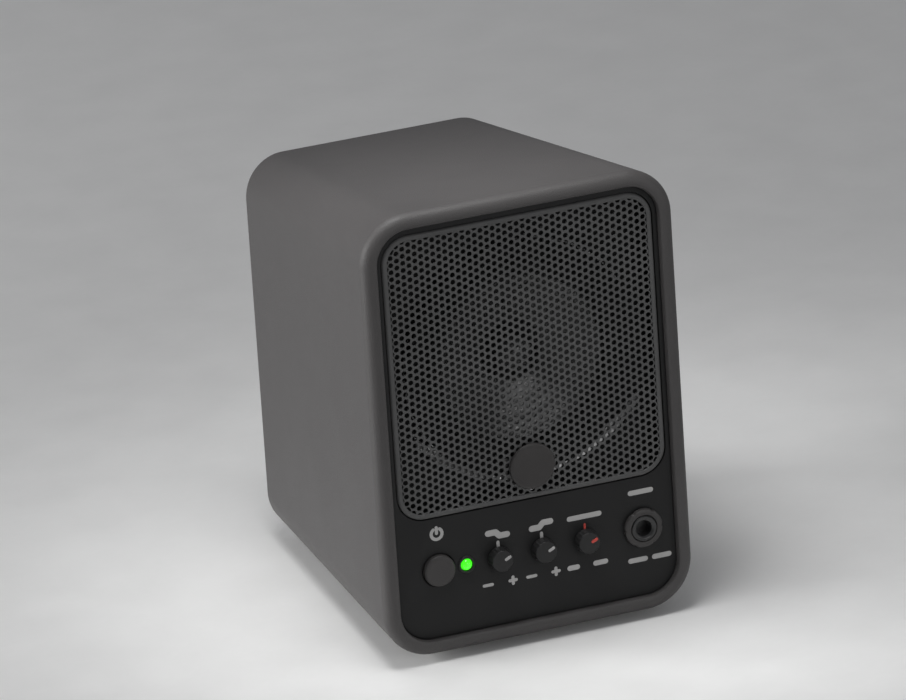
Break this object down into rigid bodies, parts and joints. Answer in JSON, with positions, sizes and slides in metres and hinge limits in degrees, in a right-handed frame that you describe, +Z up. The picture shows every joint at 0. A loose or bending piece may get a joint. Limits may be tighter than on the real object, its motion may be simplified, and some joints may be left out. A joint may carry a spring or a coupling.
{
  "type": "compact powered stage monitor loudspeaker",
  "caption": "Small upright powered monitor loudspeaker with a tapered cabinet, a round driver behind a flat grille, and a row of controls with a jack under it.",
  "frame": {"origin": "on the surface the feet stand on, under the middle of the bounding box", "axes": "+Z up, the front with the driver and controls faces -Y, +X is to the right as seen from the front"},
  "size_m": [0.1304, 0.1746, 0.1863],
  "materials": {
    "cabinet": "warm dark grey, fine texture, satin",
    "baffle": "smooth charcoal, satin",
    "grille": "charcoal powder coat",
    "badge": "blank dark grey disc",
    "knob": "black, fine grain",
    "button": "grey, satin",
    "rubber": "black",
    "paper": "pressed black pulp",
    "lens": "clear green lens, lit",
    "steel": "plated",
    "zinc": "zinc plated",
    "aluminium": "black anodised",
    "ferrite": "sintered, dull",
    "copper": "enamelled copper wire",
    "board": "green circuit board",
    "plastic": "black",
    "red": "red wire sleeve",
    "wadding": "white polyester fibre"
  },
  "bodies": {
    "housing": {"cabinet_shell": "cabinet", "front_baffle": "baffle", "speaker_grille": "grille", "grille_badge": "badge", "driver_trim_ring": "baffle", "driver_basket": "steel", "driver_gasket": "rubber", "driver_screw_1": "zinc", "driver_screw_2": "zinc", "driver_screw_3": "zinc", "driver_screw_4": "zinc", "driver_surround": "rubber", "driver_spider": "paper", "driver_top_plate": "zinc", "driver_magnet": "ferrite", "driver_yoke": "zinc", "driver_terminal": "plastic", "power_switch": "plastic", "power_led": "lens", "low_potentiometer": "steel", "high_potentiometer": "steel", "volume_potentiometer": "steel", "input_jack": "plastic", "input_jack_nut": "button", "control_board": "board", "rear_panel": "aluminium", "rear_screw_1": "zinc", "rear_screw_2": "zinc", "rear_screw_3": "zinc", "rear_screw_4": "zinc", "heatsink": "aluminium", "mains_inlet": "plastic", "line_jack": "plastic", "line_jack_nut": "button", "transformer_core": "steel", "transformer_windings": "copper", "amplifier_board": "board", "amplifier_chip": "plastic", "filter_capacitor_1": "plastic", "filter_capacitor_2": "plastic", "speaker_lead_red": "red", "speaker_lead_black": "plastic", "ribbon_cable": "plastic", "acoustic_wadding": "wadding", "stand_insert": "steel", "foot_front_left": "rubber", "foot_front_right": "rubber", "foot_rear_left": "rubber", "foot_rear_right": "rubber"},
    "cone": {"driver_cone": "paper", "driver_dust_cap": "paper", "voice_coil": "copper"},
    "power_push": {"power_button": "button"},
    "low_control": {"low_knob": "knob", "low_shaft": "steel"},
    "high_control": {"high_knob": "knob", "high_shaft": "steel"},
    "volume_control": {"volume_knob": "knob", "volume_shaft": "steel"},
    "fuse_slide": {"fuse_drawer": "plastic"}
  },
  "joints": [
    {"name": "power_press", "type": "slide", "parent": "housing", "child": "power_push", "axis": [0, 1, 0], "range_m": [0, 0.0022], "stiffness_N_per_m": 800},
    {"name": "low_turn", "type": "hinge", "parent": "housing", "child": "low_control", "pos_m": [-0.016, -0.085, 0.0378], "axis": [0, 1, 0], "range_deg": [-240, 60]},
    {"name": "high_turn", "type": "hinge", "parent": "housing", "child": "high_control", "pos_m": [0.0024, -0.085, 0.0378], "axis": [0, 1, 0], "range_deg": [-240, 60]},
    {"name": "volume_turn", "type": "hinge", "parent": "housing", "child": "volume_control", "pos_m": [0.0207, -0.085, 0.0378], "axis": [0, 1, 0], "range_deg": [-240, 60]},
    {"name": "cone_travel", "type": "slide", "parent": "housing", "child": "cone", "axis": [0, 1, 0], "range_m": [-0.0025, 0.0025], "stiffness_N_per_m": 1600, "deforming": ["driver_surround", "driver_spider"]},
    {"name": "fuse_drawer_slide", "type": "slide", "parent": "housing", "child": "fuse_slide", "axis": [0, 1, 0], "range_m": [0, 0.015]}
  ]
}
